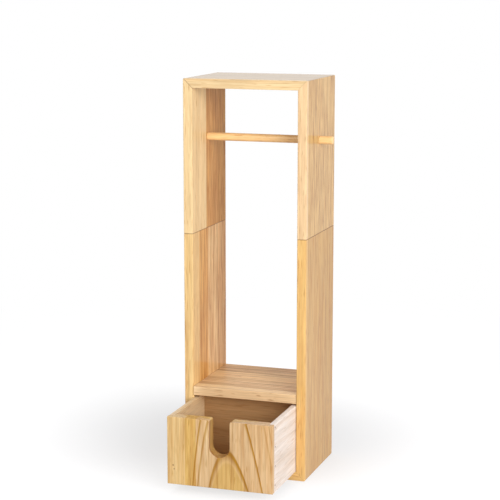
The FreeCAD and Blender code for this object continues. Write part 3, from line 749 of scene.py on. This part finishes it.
# %% [markdown]
# ## Brad marks
# Each brad is punched a little under the face, and a dark dab is set over the hole: painted shade, for the
# dark hole round the brad's head. These are the small dots along the drawer sides. Equal dots on a list of
# places are work for Geometry Nodes: one shallow dab, set on every place and turned to face outwards. The
# dab is matt, grey-brown, a little uneven.

# %% Dabs of painted hole shade
# Width and rise are in metres, and the crown is a share of the foot.
DAB_WIDTH = 0.0027
DAB_RISE = 0.00012
DAB_SIDES = 12
DAB_CROWN = 0.6

hole_shade_dabs = bpy.data.node_groups.new("hole_shade_dabs", "GeometryNodeTree")
add_sockets(hole_shade_dabs, (
    ("INPUT", "Geometry", ("Places",)),
    ("INPUT", "Float", ("Dab Width", "Dab Rise")),
    ("INPUT", "Material", ("Hole Shade",)),
    ("OUTPUT", "Geometry", ("Dabs",)),
))
given = add_node(hole_shade_dabs, "NodeGroupInput").outputs
foot = add_node(hole_shade_dabs, "ShaderNodeMath", {"operation": "MULTIPLY"},
                {"Value": given["Dab Width"], "Value_001": 0.5})
crown = add_node(hole_shade_dabs, "ShaderNodeMath", {"operation": "MULTIPLY"},
                 {"Value": foot, "Value_001": DAB_CROWN})
dab = add_node(hole_shade_dabs, "GeometryNodeMeshCone", inputs={
    "Vertices": DAB_SIDES, "Radius Top": crown, "Radius Bottom": foot, "Depth": given["Dab Rise"]})
outwards = add_node(hole_shade_dabs, "GeometryNodeInputNamedAttribute", {"data_type": "FLOAT_VECTOR"},
                    {"Name": "outwards"})
facing = add_node(hole_shade_dabs, "FunctionNodeAlignRotationToVector", {"axis": "Z"}, {"Vector": outwards})
dabs = add_node(hole_shade_dabs, "GeometryNodeInstanceOnPoints", inputs={
    "Points": given["Places"], "Instance": dab, "Rotation": facing})
real = add_node(hole_shade_dabs, "GeometryNodeRealizeInstances", inputs={"Geometry": dabs})
filled = add_node(hole_shade_dabs, "GeometryNodeSetMaterial", inputs={
    "Geometry": real, "Material": given["Hole Shade"]})
add_node(hole_shade_dabs, "NodeGroupOutput", inputs={"Dabs": filled})
print("dab tree has", len(hole_shade_dabs.nodes), "nodes")

# %% Painted hole shade
GRITS_PER_MM = 1.6

# A dark grey-brown with a little grit: painted shade of the brad holes.
hole_shade_paint, tree, surface = new_material("painted_hole_shade")
place = add_node(tree, "ShaderNodeTexCoord")
grit_place = add_node(tree, "ShaderNodeVectorMath", {"operation": "SCALE"},
                      {"Vector": place.outputs["Object"], "Scale": MM})
grit = add_node(tree, "ShaderNodeTexNoise", inputs={
    "Vector": grit_place, "Scale": GRITS_PER_MM, "Detail": 2.0})
tone = add_node(tree, "ShaderNodeValToRGB", inputs={"Fac": grit}, stops=[
    (0.3, linear("#5E4A3A")), (0.7, linear("#86705C"))])
dab_surface = add_node(tree, "ShaderNodeBsdfPrincipled", inputs={
    "Base Color": tone, "Roughness": 0.8, "IOR": 1.5})
tree.links.new(dab_surface.outputs["BSDF"], surface)
print("filler ready")

# %% [markdown]
# ## Places of the dabs
# The box round each group of brads tells where its pins are, so no place is written twice: the pins are
# spread evenly between the ends of that box. The dabs become one plain mesh for each body they move with.

# %% Plain meshes of dabs
BRAD_WIRE = 0.0013


def spread(low, high, count):
    """Brad centres along one axis of the box that holds their pins."""
    first, last = low + BRAD_WIRE / 2, high - BRAD_WIRE / 2
    return [first + (last - first) * number / (count - 1) for number in range(count)]


def add_dabs(name, places, body):
    """A plain mesh of dabs that moves with a body."""
    points = bpy.data.meshes.new(f"{name}_places")
    points.from_pydata([place for place, direction in places], [], [])
    outwards = points.attributes.new("outwards", "FLOAT_VECTOR", "POINT")
    for number, (place, direction) in enumerate(places):
        outwards.data[number].vector = direction
    seed = bpy.data.objects.new(f"{name}_places", points)
    bpy.context.scene.collection.objects.link(seed)
    modifier = seed.modifiers.new("dabs", "NODES")
    modifier.node_group = hole_shade_dabs
    items = hole_shade_dabs.interface.items_tree
    sockets = {item.name: item.identifier for item in items if item.in_out == "INPUT"}
    modifier[sockets["Dab Width"]] = DAB_WIDTH
    modifier[sockets["Dab Rise"]] = DAB_RISE
    modifier[sockets["Hole Shade"]] = hole_shade_paint
    evaluated = seed.evaluated_get(bpy.context.evaluated_depsgraph_get())
    mesh = bpy.data.meshes.new_from_object(evaluated)
    bpy.data.objects.remove(seed)
    piece = bpy.data.objects.new(name, mesh)
    bpy.context.scene.collection.objects.link(piece)
    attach(piece, body)
    print(name, "has", len(mesh.polygons), "faces")


print("brad wire is", BRAD_WIRE * MM, "mm thick")

# %% Dabs on the drawer and on the bay's back
BRAD_SINK = 0.0005
SIDE_BRAD_ROWS = {"drawer_front_brads": 4, "drawer_back_brads": 3}
BAY_BRAD_COLUMNS = 3
BAY_BRAD_ROWS = 2
FLOOR_BRADS = 2

drawer_places = []
for node, rows in SIDE_BRAD_ROWS.items():
    low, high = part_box(node)
    drawer_places += [((hand * (high.x + BRAD_SINK), (low.y + high.y) / 2, up), (hand, 0.0, 0.0))
                      for hand in (-1.0, 1.0) for up in spread(low.z, high.z, rows)]
low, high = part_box("drawer_floor_brads")
drawer_places += [((across, (low.y + high.y) / 2, low.z - BRAD_SINK), (0.0, 0.0, -1.0))
                  for across in spread(low.x, high.x, FLOOR_BRADS)]
low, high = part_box("bay_back_brads")
bay_places = [((across, high.y + BRAD_SINK, up), (0.0, 1.0, 0.0))
              for across in spread(low.x, high.x, BAY_BRAD_COLUMNS)
              for up in spread(low.z, high.z, BAY_BRAD_ROWS)]
add_dabs("drawer_hole_shade_dabs", drawer_places, "drawer")
add_dabs("bay_back_hole_shade_dabs", bay_places, "frame")

# %% [markdown]
# ## Size
# Looks must not change the size of the part.

print("the stand is dressed")
